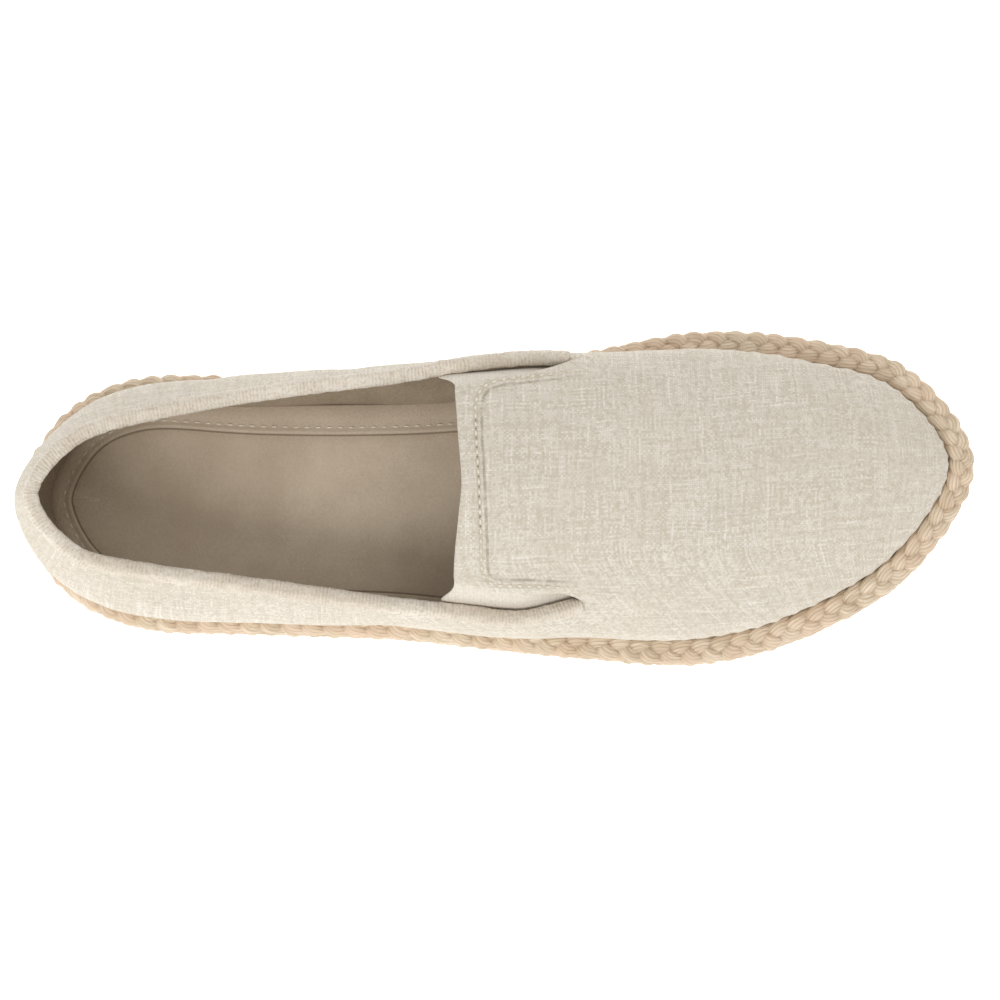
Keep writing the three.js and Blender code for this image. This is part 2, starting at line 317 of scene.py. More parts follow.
def rounded(corners, between):
    """A closed smooth curve through the corners."""
    before = np.roll(corners, 1, axis=0)
    after = np.roll(corners, -1, axis=0)
    beyond = np.roll(corners, -2, axis=0)
    parts = []
    for step in range(between):
        t = step / between
        parts.append(0.5 * (2 * corners + (after - before) * t
                            + (2 * before - 5 * corners + 4 * after - beyond) * t ** 2
                            + (3 * corners - before - 3 * after + beyond) * t ** 3))
    return np.stack(parts, axis=1).reshape(-1, 3)


class Edge:
    """The sole's outline at the braid's outer edge, by distance from the heel."""

    def __init__(self):
        path = rounded(sole_corners(), CURVE_STEPS)
        path[:, 2] -= OUTSOLE_TOP
        ahead = unit((np.roll(path, -1, axis=0) - np.roll(path, 1, axis=0))[:, :2])
        out = np.stack([ahead[:, 1], -ahead[:, 0], np.zeros(len(path))], axis=1)
        path = path + out * ROPE_PROUD
        self.path = np.concatenate([path, path[:1]])
        self.out = np.concatenate([out, out[:1]])
        self.at = travelled(self.path)
        self.length = self.at[-1]

    def sample(self, distance):
        """Points and outward directions at these distances round the sole."""
        distance = np.mod(distance, self.length)
        return (read_off(self.path, self.at, distance),
                unit(read_off(self.out, self.at, distance)))

    def steps(self, count):
        """This many even distances round the sole."""
        return np.arange(count) * self.length / count

    def rise(self, x):
        """Height of arch and toe spring at x."""
        half = len(self.path) // 2
        order = np.argsort(self.path[:half, 0])
        return np.interp(x, self.path[:half, 0][order], self.path[:half, 2][order])

    def nearest(self, points):
        """Distance round the sole, and way out, at the outline's nearest place in plan."""
        plan = (1, 1, 0)
        which, _ = nearest(self.path[:-1] * plan, np.asarray(points, float) * plan)
        return self.at[which], self.out[which]


EDGE = Edge()


def sole_ring(inset, height, columns):
    """A ring of points this far inside the sole's edge and this high above its underside."""
    point, out = EDGE.sample(EDGE.steps(columns))
    ring = point - out * np.reshape(inset, (-1, 1))
    ring[:, 2] = EDGE.rise(ring[:, 0]) + height
    return ring


def sole_rings(name, profile, columns):
    """Rings round the sole at (inset, height), closed across at the first and last."""
    rings = [sole_ring(inset, height, columns) for inset, height in profile]

    def across(ring, share):
        mirrored = ring[(-np.arange(columns)) % columns]
        middle = (ring + mirrored) / 2
        inner = ring + (middle - ring) * share
        inner[:, 2] = ring[:, 2] - EDGE.rise(ring[:, 0]) + EDGE.rise(inner[:, 0])
        return inner

    under = [across(rings[0], share) for share in RINGS_UNDER]
    over = [across(rings[-1], share) for share in RINGS_OVER]
    return shaped_grid(name, under + rings + over, wrap_columns=True)


# ---- Shader groups ----
class Nodes:
    """A node tree with short calls for adding and joining nodes."""

    def __init__(self, tree):
        self.tree = tree

    def add(self, kind, inputs=(), **values):
        node = self.tree.nodes.new(kind)
        for key, value in values.items():
            setattr(node, key, value)
        for key, value in dict(inputs).items():
            self.give(node.inputs[key], value)
        return node

    def give(self, socket, value):
        """Joins an output to a socket, or sets the socket's own value."""
        if isinstance(value, bpy.types.NodeSocket):
            self.tree.links.new(value, socket)
        else:
            socket.default_value = value

    def math(self, operation, *values):
        return self.add("ShaderNodeMath", enumerate(values), operation=operation).outputs[0]

    def times(self, value, factor, more=None):
        """value times factor, with more added to it if it is given."""
        if more is None:
            return self.math("MULTIPLY", value, factor)
        return self.math("MULTIPLY_ADD", value, factor, more)

    def wave(self, value):
        return self.math("SINE", value)

    def mix(self, share, low, high):
        """A colour between low and high."""
        node = self.add("ShaderNodeMix", data_type="RGBA")
        for index, value in ((0, share), (6, low), (7, high)):
            self.give(node.inputs[index], value)
        return node.outputs[2]

    def blend(self, share, low, high):
        """A number between low and high."""
        node = self.add("ShaderNodeMix", {0: share, 2: low, 3: high}, data_type="FLOAT")
        return node.outputs[0]

    def vector(self, operation, first, second):
        node = self.add("ShaderNodeVectorMath", {0: first, 1: second}, operation=operation)
        return node.outputs[0]

    def scaled(self, vector, scale):
        node = self.add("ShaderNodeVectorMath", {0: vector, "Scale": scale},
                        operation="SCALE")
        return node.outputs[0]

    def noise(self, vector, scale, detail=2.0, roughness=0.5, output="Fac"):
        node = self.add("ShaderNodeTexNoise", {"Vector": vector, "Scale": scale,
                                               "Detail": detail, "Roughness": roughness})
        return node.outputs[output]

    def range(self, value, low, high, to_low=0.0, to_high=1.0):
        """A soft step from to_low to to_high as value goes from low to high."""
        node = self.add("ShaderNodeMapRange",
                        {0: value, 1: low, 2: high, 3: to_low, 4: to_high},
                        interpolation_type="SMOOTHSTEP")
        return node.outputs[0]

    def joined(self, x, y, z=0.0):
        return self.add("ShaderNodeCombineXYZ", {0: x, 1: y, 2: z}).outputs[0]

    def split(self, vector):
        return self.add("ShaderNodeSeparateXYZ", {0: vector}).outputs


def group(name, inputs, outputs):
    """A shader group with named sockets: its tree tools, what it is given, and its output."""
    tree = bpy.data.node_groups.new(name, "ShaderNodeTree")
    for label, kind, value in inputs:
        socket = tree.interface.new_socket(label, in_out="INPUT", socket_type=kind)
        if value is not None:
            socket.default_value = value
    for label in outputs:
        tree.interface.new_socket(label, in_out="OUTPUT", socket_type="NodeSocketFloat")
    tools = Nodes(tree)
    return tools, tools.add("NodeGroupInput").outputs, tools.add("NodeGroupOutput").inputs


def weave_group():
    """Plain weave with uneven threads: height, tone of each thread, and slubs."""
    tools, given, made = group(
        "Weave",
        [("Vector", "NodeSocketVector", None), ("Pitch", "NodeSocketFloat", WEAVE_PITCH),
         ("Wander", "NodeSocketFloat", 0.5)],
        ["Height", "Tone", "Slub"])
    wander = tools.noise(given["Vector"], 160.0, 1.0, output="Color")
    centred = tools.vector("SUBTRACT", wander, (0.5, 0.5, 0.5))
    moved = tools.scaled(centred, given["Wander"])
    counted = tools.scaled(given["Vector"], tools.math("DIVIDE", 1.0, given["Pitch"]))
    along, across, _ = tools.split(tools.vector("ADD", counted, moved))

    def threads(this, other, seed, plane):
        """The threads of one direction: their number, rounded back and uneven tone."""
        number = tools.math("FLOOR", this)
        tone = tools.noise(tools.joined(tools.times(number, seed),
                                        tools.times(other, 0.035), plane), 1.0, 1.0)
        return number, tools.wave(tools.times(tools.math("FRACT", this), math.pi)), tone

    number_a, back_a, tone_a = threads(along, across, 3.17, 2.0)
    number_b, back_b, tone_b = threads(across, along, 5.31, 9.0)

    def height_of(own, other):
        """A thread's rounded height, lower where it dives under its neighbours."""
        return tools.times(tools.math("POWER", own, 0.7), tools.times(other, 0.45, 0.55))

    over = tools.math("PINGPONG", tools.math("ADD", number_a, number_b), 1.0)
    tone = tools.blend(over, tone_a, tone_b)
    height = tools.times(
        tools.blend(over, height_of(back_a, back_b), height_of(back_b, back_a)),
        tools.times(tone, 0.8, 0.6))
    slub = tools.math("MAXIMUM", tools.range(tone_a, 0.66, 0.74),
                      tools.range(tone_b, 0.69, 0.77))
    tools.give(made["Height"], tools.times(slub, 0.35, height))
    tools.give(made["Tone"], tone)
    tools.give(made["Slub"], slub)
    return tools.tree


def fibre_group():
    """Long fine fibres that run along a yarn and twist round it."""
    tools, given, made = group(
        "Fibre",
        [("Vector", "NodeSocketVector", None), ("Twist", "NodeSocketFloat", 0.6)],
        ["Height", "Tone"])
    along, across, _ = tools.split(given["Vector"])
    turned = tools.times(along, given["Twist"], across)
    fine = tools.noise(tools.joined(tools.times(along, 90.0), tools.times(turned, 1500.0)),
                       1.0, 3.0, 0.65)
    broad = tools.noise(tools.joined(tools.times(along, 40.0), tools.times(turned, 520.0),
                                     3.0), 1.0, 1.0)
    tools.give(made["Height"],
               tools.math("ADD", tools.times(fine, 0.5), tools.times(broad, 0.9)))
    tools.give(made["Tone"], tools.blend(0.45, fine, broad))
    return tools.tree


def nap_group():
    """Soft nap of suede or brushed cloth: height and a mottled tone."""
    tools, given, made = group(
        "Nap",
        [("Vector", "NodeSocketVector", None), ("Grain", "NodeSocketFloat", 1400.0)],
        ["Height", "Tone"])
    fine = tools.noise(given["Vector"], given["Grain"], 3.0, 0.6)
    broad = tools.noise(given["Vector"], 55.0, 3.0, 0.6)
    tools.give(made["Height"], fine)
    tools.give(made["Tone"], tools.blend(0.55, fine, broad))
    return tools.tree


WEAVE = weave_group()
FIBRE = fibre_group()
NAP = nap_group()


# ---- Materials ----
WARM_SHEEN = (1.0, 0.97, 0.92, 1.0)
JUTE_SHEEN = (1.0, 0.94, 0.84, 1.0)
SHEEN_ROUGHNESS = 0.55
MATT_SPECULAR = 0.22
FULL_TURN = 2 * math.pi


def colour(red, green, blue):
    """A display colour, 0 to 255, as the linear colour that a socket takes."""
    def linear(value):
        value /= 255
        return value / 12.92 if value <= 0.04045 else ((value + 0.055) / 1.055) ** 2.4
    return (linear(red), linear(green), linear(blue), 1.0)


class Cloth(Nodes):
    """A matt material with sheen, and calls for what its colour and bump are made of."""

    def __init__(self, name, roughness, sheen, tint=WARM_SHEEN):
        self.material = bpy.data.materials.new(name)
        self.material.use_nodes = True
        super().__init__(self.material.node_tree)
        self.sockets = self.tree.nodes["Principled BSDF"].inputs
        self.sockets["Roughness"].default_value = roughness
        self.sockets["Specular IOR Level"].default_value = MATT_SPECULAR
        self.sockets["Sheen Weight"].default_value = sheen
        self.sockets["Sheen Roughness"].default_value = SHEEN_ROUGHNESS
        self.sockets["Sheen Tint"].default_value = tint

    def spot(self):
        """Places in the piece's own metres."""
        return self.add("ShaderNodeTexCoord").outputs["Object"]

    def threads(self):
        """Places along and across the threads, in metres."""
        return self.add("ShaderNodeUVMap", uv_map="UVMap").outputs[0]

    def kept(self, name):
        """A number that was stored for each point."""
        return self.add("ShaderNodeAttribute", attribute_name=name).outputs["Fac"]

    def use(self, shader_group, **values):
        """A shader group's outputs, with these values given to it."""
        return self.add("ShaderNodeGroup", values, node_tree=shader_group).outputs

    def finish(self, shade, height, depth, strength=1.0):
        """Sets the colour and a bump of this depth, and returns the material."""
        self.give(self.sockets["Base Color"], shade)
        raised = self.add("ShaderNodeBump", {"Height": height, "Distance": depth,
                                             "Strength": strength})
        self.give(self.sockets["Normal"], raised.outputs[0])
        return self.material


def linen_material():
    """Uneven woven threads with flecks and slubs, pressed in along the tab's seam; painted
    shade lies low in the weave, along the seam's crease and in its stitches' channel.
    """
    cloth = Cloth("Natural_linen", 0.88, 0.1)
    weave = cloth.use(WEAVE, Vector=cloth.threads(), Pitch=WEAVE_PITCH, Wander=2.4)
    spot = cloth.spot()
    mottle = cloth.noise(spot, 45.0, 3.0, 0.6)
    fleck = cloth.noise(spot, 750.0, 2.0, 0.7)
    thread = cloth.mix(cloth.range(weave["Tone"], 0.28, 0.72),
                       colour(203, 194, 180), colour(232, 226, 214))
    # Painted shade in the low places of the weave.
    shaded = cloth.mix(cloth.range(weave["Height"], 0.05, 0.6),
                       colour(204, 195, 179), thread)
    flecked = cloth.mix(cloth.range(fleck, 0.42, 0.72, 0.0, 0.8), shaded,
                        colour(194, 183, 164))
    slubbed = cloth.mix(cloth.times(weave["Slub"], 0.26), flecked, colour(240, 235, 226))
    tinted = cloth.mix(cloth.range(mottle, 0.3, 0.75, 0.0, 0.25), slubbed,
                       colour(207, 196, 176))
    # The seam's crease is a line of painted shade, fainter in places, and its stitches lie in
    # a shallow channel that has painted shade too.
    from_seam, sewn = cloth.kept("from_seam"), cloth.kept("sewn")
    near = cloth.range(cloth.math("ABSOLUTE", from_seam), 0.1 * MM, 0.6 * MM, 1.0, 0.0)
    # Patches where the crease's painted shade is fainter.
    crease_shade_fade = cloth.range(cloth.noise(spot, 420.0), 0.3, 0.62, 0.35, 1.0)
    line = cloth.times(cloth.times(near, sewn), crease_shade_fade)
    to_row = cloth.math("ABSOLUTE", cloth.math("ADD", from_seam, STITCH_FROM_SEAM))
    dip = cloth.times(cloth.range(to_row, 0.2 * MM, 0.75 * MM, 1.0, 0.0), sewn)
    # Painted shade in the stitches' channel.
    channel_shaded = cloth.mix(cloth.times(dip, 0.4), tinted, colour(184, 171, 150))
    # Painted shade along the seam's crease.
    line_shaded = cloth.mix(cloth.times(line, 0.5), channel_shaded, colour(126, 110, 88))
    pressed = cloth.times(dip, -1.2, weave["Height"])
    return cloth.finish(line_shaded, cloth.times(line, -2.5, pressed), 0.13 * MM, 0.6)


def jute_material():
    """Flat yarns laid side by side in each strand, with fine fibres along them, painted shade
    between the yarns, and painted shade deep in the braid.
    """
    cloth = Cloth("Jute_strand", 0.86, 0.12, JUTE_SHEEN)
    threads = cloth.threads()
    fibre = cloth.use(FIBRE, Vector=threads, Twist=0.3)
    along, across, _ = cloth.split(threads)
    drift = cloth.times(cloth.noise(threads, 130.0), 1.6 * MM)
    turned = cloth.times(along, 0.12, cloth.math("ADD", across, drift))
    yarn = cloth.wave(cloth.times(turned, math.pi / YARN_WIDE))
    between = cloth.range(cloth.math("ABSOLUTE", yarn), 0.0, 0.45, 1.0, 0.0)
    patch = cloth.noise(cloth.spot(), 90.0)
    tone = cloth.mix(cloth.range(fibre["Tone"], 0.3, 0.66),
                     colour(194, 173, 144), colour(235, 218, 194))
    rosy = cloth.mix(cloth.range(patch, 0.38, 0.66, 0.0, 0.5), tone, colour(226, 198, 172))
    # Painted shade in the gaps between the yarns.
    line_shaded = cloth.mix(cloth.times(between, 0.22), rosy, colour(164, 138, 108))
    # Painted shade in the braid's hollows and on its underside, from the stored depth.
    shade = cloth.mix(cloth.kept("deep"), line_shaded, colour(140, 114, 84))
    return cloth.finish(shade, cloth.times(between, -0.5, fibre["Height"]), 0.3 * MM, 0.85)


def binding_material():
    """Brushed tape, ribbed across its width, with painted shade in patches between the ribs.
    """
    cloth = Cloth("Ribbed_binding", 0.92, 0.3)
    spot = cloth.spot()
    nap = cloth.use(NAP, Vector=spot, Grain=1500.0)
    drift = cloth.times(cloth.noise(spot, 260.0), 3.0)
    turn = cloth.times(cloth.kept("along"), FULL_TURN / RIB_PITCH, drift)
    rib = cloth.times(cloth.wave(turn), 0.5, 0.5)
    patch = cloth.range(cloth.noise(spot, 330.0), 0.4, 0.62)
    base = cloth.mix(cloth.range(nap["Tone"], 0.3, 0.7),
                     colour(204, 192, 174), colour(232, 223, 209))
    # Painted shade in the hollows between the ribs, in patches.
    between = cloth.times(cloth.range(rib, 0.55, 0.1), patch)
    ribbed = cloth.mix(cloth.times(between, 0.35), base, colour(176, 152, 124))
    speckle = cloth.range(cloth.noise(spot, 1100.0, 2.0, 0.7), 0.5, 0.72, 0.0, 0.5)
    shade = cloth.mix(speckle, ribbed, colour(178, 160, 136))
    return cloth.finish(shade, cloth.times(rib, 0.45, nap["Height"]), 0.3 * MM, 0.9)


def suede_material():
    """Fine suede, with painted shade in the groove beside the rim of its border."""
    cloth = Cloth("Taupe_suede", 0.93, 0.3)
    spot = cloth.spot()
    nap = cloth.use(NAP, Vector=spot, Grain=1500.0)
    fine = cloth.mix(cloth.range(nap["Tone"], 0.32, 0.68),
                     colour(194, 177, 155), colour(212, 196, 174))
    toned = cloth.mix(cloth.range(cloth.noise(spot, 30.0), 0.35, 0.7, 0.0, 0.3), fine,
                      colour(188, 168, 143))
    # Painted shade in the border's groove.
    shade = cloth.mix(cloth.times(cloth.kept("groove"), 0.75), toned, colour(112, 95, 76))
    return cloth.finish(shade, nap["Height"], 0.12 * MM)


def elastic_material():
    """Close plain elastic cloth, faintly ribbed down its height."""
    cloth = Cloth("Elastic_webbing", 0.8, 0.12)
    spot = cloth.spot()
    turn = cloth.times(cloth.split(spot)[0], FULL_TURN / RIB_PITCH)
    knit = cloth.noise(cloth.vector("MULTIPLY", spot, (1500.0, 900.0, 900.0)), 1.0)
    height = cloth.times(cloth.wave(turn), 0.06, knit)
    shade = cloth.mix(cloth.range(height, 0.2, 0.8),
                      colour(212, 204, 190), colour(228, 221, 209))
    return cloth.finish(shade, height, 0.12 * MM, 0.7)


def rubber_material():
    """Grained crepe rubber, with small square studs where it faces the ground."""
    cloth = Cloth("Crepe_rubber", 0.7, 0.0)
    spot = cloth.spot()
    along, across, _ = cloth.split(spot)
    turn = FULL_TURN / TREAD_PITCH
    studs = cloth.times(cloth.wave(cloth.times(along, turn)),
                        cloth.wave(cloth.times(across, turn)))
    tread = cloth.range(studs, -0.1, 0.1)
    grain = cloth.noise(spot, 900.0, 3.0)
    facing = cloth.split(cloth.add("ShaderNodeNewGeometry").outputs["Normal"])[2]
    under = cloth.range(facing, -0.95, -0.7, 1.0, 0.0)
    shade = cloth.mix(grain, colour(150, 118, 82), colour(182, 150, 110))
    return cloth.finish(shade, cloth.times(cloth.times(tread, under), 2.0, grain),
                        0.35 * MM, 0.8)


def napped_material(name, low, high, grain, depth, roughness=0.92, sheen=0.35, strength=1.0):
    """Plain cloth, thread or fibre: one nap between two colours."""
    cloth = Cloth(name, roughness, sheen)
    nap = cloth.use(NAP, Vector=cloth.spot(), Grain=grain)
    shade = cloth.mix(cloth.range(nap["Tone"], 0.3, 0.7), low, high)
    return cloth.finish(shade, nap["Height"], depth, strength)


LINEN = linen_material()
LINING = napped_material("Cotton_lining", colour(146, 130, 109), colour(172, 156, 134),
                         1300.0, 0.1 * MM, 0.9, 0.1, 0.7)
JUTE = jute_material()
SUEDE = suede_material()
# Painted shade of the needle holes: dark pieces laid where the cloth has only holes.
HOLE_SHADE = napped_material("Needle_hole_shade", colour(140, 125, 103), colour(160, 145, 122),
                       3000.0, 0.05 * MM)
BINDING = binding_material()
THREAD = napped_material("Sewing_thread", colour(206, 195, 175), colour(236, 228, 212),
                         3000.0, 0.05 * MM, 0.7, 0.2)
ELASTIC = elastic_material()
RUBBER = rubber_material()
CORE = napped_material("Pressed_jute", colour(120, 95, 62), colour(176, 146, 105),
                       700.0, 0.5 * MM)


# ---- Rope braid ----
STRAND_HALF_WIDE = 2.25 * MM
STRAND_HALF_THICK = 1.5 * MM
STRAND_RIDGE = 0.04              # share by which its yarns stand out, and its width swells
RIDGE_TWIST = 1400               # how its yarns twist round it, in radians a metre
SWELL_RATE = 900                 # how its width swells and thins, in radians a metre
SWELL_SHIFT = 2.1                # how far one strand's swells are from the next one's
STRAND_SIDES = 12
STEPS_A_PERIOD = 26
PLAIT_SWING = 1.72 * MM          # how far a strand swings from side to side
SWING_SQUARER = 0.12             # share of a triple wave, which flattens the swing's turns
PLAIT_DIVE = 0.9 * MM            # how far it passes over and under
PLAIT_UNEVEN = 0.08 * MM
UNEVEN_A_PERIOD = 3              # uneven places in a period
STRAND_STRETCH = 1.25            # a strand's own length to the length of the row
STRAND_MEAN_RADIUS = 1.7 * MM
HOLLOW_DEPTH = (0.7 * MM, 2.1 * MM)    # above the braid's middle, where hollows end
HOLLOW_ASIDE = (0.8 * MM, 2.2 * MM)    # and beside its middle
UNDER_DEPTH = (-1.3 * MM, 0.7 * MM)
HOLLOW_SHADE = 0.9
UNDER_SHADE = 0.8
BRAID_LOW = OUTSOLE_TOP + 3.7 * MM     # middles of the two rows
BRAID_HIGH = BRAID_LOW + 7.1 * MM
UP = np.array([0.0, 0.0, 1.0])


def scale_uv(piece, rows_long, columns_long):
    """Turns the grid's own 0 to 1 map into metres along its rows and columns."""
    layer = piece.data.uv_layers[0]
    layer.name = "UVMap"
    flat = np.empty(len(layer.data) * 2)
    layer.data.foreach_get("uv", flat)
    uv = flat.reshape(-1, 2)
    layer.data.foreach_set("uv", np.stack([uv[:, 1] * rows_long, uv[:, 0] * columns_long],
                                          -1).reshape(-1))


def unevenness(rng, periods, steps):
    """Small sideways and face-on drifts along a strand, the same at its two ends."""
    knots = periods * UNEVEN_A_PERIOD
    jitter = rng.normal(0, PLAIT_UNEVEN, (knots, 2))
    where = np.arange(steps) / steps * knots
    return [np.interp(where, np.arange(knots + 1), np.append(jitter[:, k], jitter[0, k]))
            for k in range(2)]


def strand_tube(centre, face, distance, strand):
    """Rings of points round a strand's middle line, flat on to the braid's face."""
    ahead = unit(np.roll(centre, -1, axis=0) - np.roll(centre, 1, axis=0))
    side = unit(np.cross(ahead, face))
    lifted = unit(np.cross(side, ahead))
    full = 1 + STRAND_RIDGE * np.sin(distance * SWELL_RATE + strand * SWELL_SHIFT)
    rings = []
    for corner in range(STRAND_SIDES):
        turn = FULL_TURN * corner / STRAND_SIDES
        ridge = 1 + STRAND_RIDGE * np.cos(3 * turn + distance * RIDGE_TWIST)
        wide = STRAND_HALF_WIDE * math.cos(turn) * full * ridge
        thick = STRAND_HALF_THICK * math.sin(turn) * full * ridge
        rings.append(centre + side * wide[:, None] + lifted * thick[:, None])
    return np.stack(rings, axis=1)


def braid_shade_mask(points, spine, face):
    """Painted shade for each point, from how deep it lies in the braid: its underside, and the
    hollows of its face.
    """
    which, _ = nearest(spine, points)
    off = points - spine[which]
    depth = np.einsum("ij,ij->i", off, face[which])
    aside = np.linalg.norm(off - depth[:, None] * face[which], axis=1)
    hollow = (1 - ease(depth, *HOLLOW_DEPTH)) * (1 - ease(aside, *HOLLOW_ASIDE))
    under = 1 - ease(depth, *UNDER_DEPTH)
    return np.maximum(UNDER_SHADE * under, HOLLOW_SHADE * hollow)


def plait(name, inset, height, lean, node, seed):
    """A three-strand plait round the sole. lean turns its flat face from out to up."""
    periods = round(EDGE.length / PLAIT_PERIOD)
    steps = periods * STEPS_A_PERIOD
    distance = EDGE.steps(steps)
    point, out = EDGE.sample(distance)
    wide = out * math.sin(lean) - UP * math.cos(lean)
    face = out * math.cos(lean) + UP * math.sin(lean)
    spine = point - out * inset + UP * height
    rng = np.random.default_rng(seed)
    strands = []
    for strand in range(3):
        phase = FULL_TURN * (np.arange(steps) * periods / steps + strand / 3)
        sideways, outward = unevenness(rng, periods, steps)
        swing = PLAIT_SWING * (np.sin(phase) + SWING_SQUARER * np.sin(3 * phase)) + sideways
        dive = PLAIT_DIVE * np.sin(2 * phase) + outward
        centre = spine + wide * swing[:, None] + face * dive[:, None]
        piece = shaped_grid(f"{name}_strand_{strand}",
                            strand_tube(centre, face, distance, strand),
                            wrap_rows=True, wrap_columns=True)
        scale_uv(piece, EDGE.length * STRAND_STRETCH, FULL_TURN * STRAND_MEAN_RADIUS)
        # The braid's painted shade, kept as deep for the jute's material.
        store(piece, "deep", braid_shade_mask(positions(piece), spine, face))
        strands.append(piece)
    return finish_piece(join(strands, name), "jute_braid", [JUTE], node)


plait("Rope_row_lower", inset=3.0 * MM, height=BRAID_LOW, lean=math.radians(4),
      node="braid_lower", seed=11)
plait("Rope_row_upper", inset=4.6 * MM, height=BRAID_HIGH, lean=math.radians(72),
      node="braid_upper", seed=12)


# ---- Outsole and core ----
OUTSOLE_COLUMNS = 240
OUTSOLE_PROFILE = [              # in from the sole's edge, and up
    (3.4 * MM, 0.0), (1.6 * MM, 0.5 * MM), (1.0 * MM, 1.6 * MM),
    (1.1 * MM, OUTSOLE_TOP - 0.3 * MM), (1.6 * MM, OUTSOLE_TOP),
]

OUTSOLE = sole_rings("Rubber_outsole", OUTSOLE_PROFILE, OUTSOLE_COLUMNS)
finish_piece(OUTSOLE, "rubber", [RUBBER], "outsole")
NODES["jute_core"].data.materials.clear()
NODES["jute_core"].data.materials.append(CORE)


# ---- Footbed ----
BED_EDGE = 10.0 * MM             # sole edge in to the footbed's edge
BED_TOP = 4.1 * MM
BED_COLUMNS = 300
BORDER_HEEL = 4.6 * MM           # width of the stitched border at the heel
BORDER_MEDIAL = 7.0 * MM
BORDER_LATERAL = 2.6 * MM
BORDER_EASE = (35 * MM, 110 * MM)      # from the heel, where the width changes
STITCH_FROM_RIM = 1.7 * MM
# The border's section: share of its width and millimetres from there, and height.
BORDER = [
    (0, 0.0, 0.1), (0, -0.8, 2.6), (0, -1.0, 3.4), (0, -0.4, 3.9), (0.5, 0.0, 4.1),
    (1, -1.7, 3.9), (1, -1.0, 4.1), (1, -0.5, 4.35), (1, 0.0, 4.35), (1, 0.2, 3.9),
    (1, 0.35, 3.35), (1, 0.6, 3.3), (1, 0.9, 3.45), (1, 3.0, 3.6), (1, 8.0, 3.5),
]
GROOVE_RINGS = (10, 11)          # which of its points are in the groove, where shade is painted
ON_RING = 0.02 * MM


def border_width(distance):
    """Width of the footbed's border at these distances round the sole."""
    medial = distance > EDGE.length / 2
    from_heel = np.where(medial, EDGE.length - distance, distance)
    beside = np.where(medial, BORDER_MEDIAL, BORDER_LATERAL)
    return BORDER_HEEL + (beside - BORDER_HEEL) * ease(from_heel, *BORDER_EASE)


def make_footbed():
    """The suede footbed: a raised stitched border, a groove inside it and a soft middle."""
    width = border_width(EDGE.steps(BED_COLUMNS))
    profile = [(BED_EDGE + share * width + more * MM, FLOOR_BED + height * MM)
               for share, more, height in BORDER]
    piece = sole_rings("Suede_footbed", profile, BED_COLUMNS)
    points = positions(piece)
    # Marks the groove's points, where the suede paints shade.
    groove = np.zeros(len(points))
    for ring in GROOVE_RINGS:
        _, gap = nearest(sole_ring(*profile[ring], BED_COLUMNS), points)
        groove[gap < ON_RING] = 1.0
    store(piece, "groove", groove)
    return finish_piece(piece, "suede", [SUEDE], "insole")


FOOTBED = make_footbed()


# ---- Upper ----
OPENING_FLOOR = 36 * MM          # the opening's edge is all above this height
FOLD_ANGLE = math.radians(65)


def skins(mesh):
    """Splits a shell's faces at its sharp edges, and returns them largest first."""
    left = set(mesh.faces)
    found = []
    while left:
        start = left.pop()
        skin = {start}
        waiting = [start]
        while waiting:
            face = waiting.pop()
            for side in face.edges:
                if len(side.link_faces) == 2 and side.calc_face_angle(0) < FOLD_ANGLE:
                    for other in side.link_faces:
                        if other in left:
                            left.remove(other)
                            skin.add(other)
                            waiting.append(other)
        found.append(skin)
    return sorted(found, key=lambda skin: -sum(face.calc_area() for face in skin))


def opening_loop(outer):
    """The points of the opening's edge, in order, from its sharp edges."""
    links = {}
    for face in outer:
        for side in face.edges:
            inside = [other in outer for other in side.link_faces]
            if all(inside) or min(v.co.z for v in side.verts) < OPENING_FLOOR:
                continue
            a, b = side.verts
            links.setdefault(a, []).append(b)
            links.setdefault(b, []).append(a)
    start = max(links, key=lambda vertex: vertex.co.z)
    loop = [start]
    before, here = None, start
    while True:
        onward = [v for v in links[here] if v is not before]
        before, here = here, onward[0]
        if here is start:
            return np.array([tuple(v.co) for v in loop])
        loop.append(here)


def split_opening(loop):
    """The opening's edge as two rows: the tab's with both slits, and the collar's."""
    lateral = min(range(len(loop)), key=lambda k: -loop[k][0] if loop[k][1] < 0 else 1)
    medial = min(range(len(loop)), key=lambda k: -loop[k][0] if loop[k][1] > 0 else 1)
    low, high = sorted((lateral, medial))
    one = loop[low:high + 1]
    other = np.concatenate([loop[high:], loop[:low + 1]])
    tab, collar = (one, other) if one[:, 0].min() > other[:, 0].min() else (other, one)
    tab = tab if tab[0][1] < 0 else tab[::-1]
    collar = collar if collar[0][1] < 0 else collar[::-1]
    return tab, collar


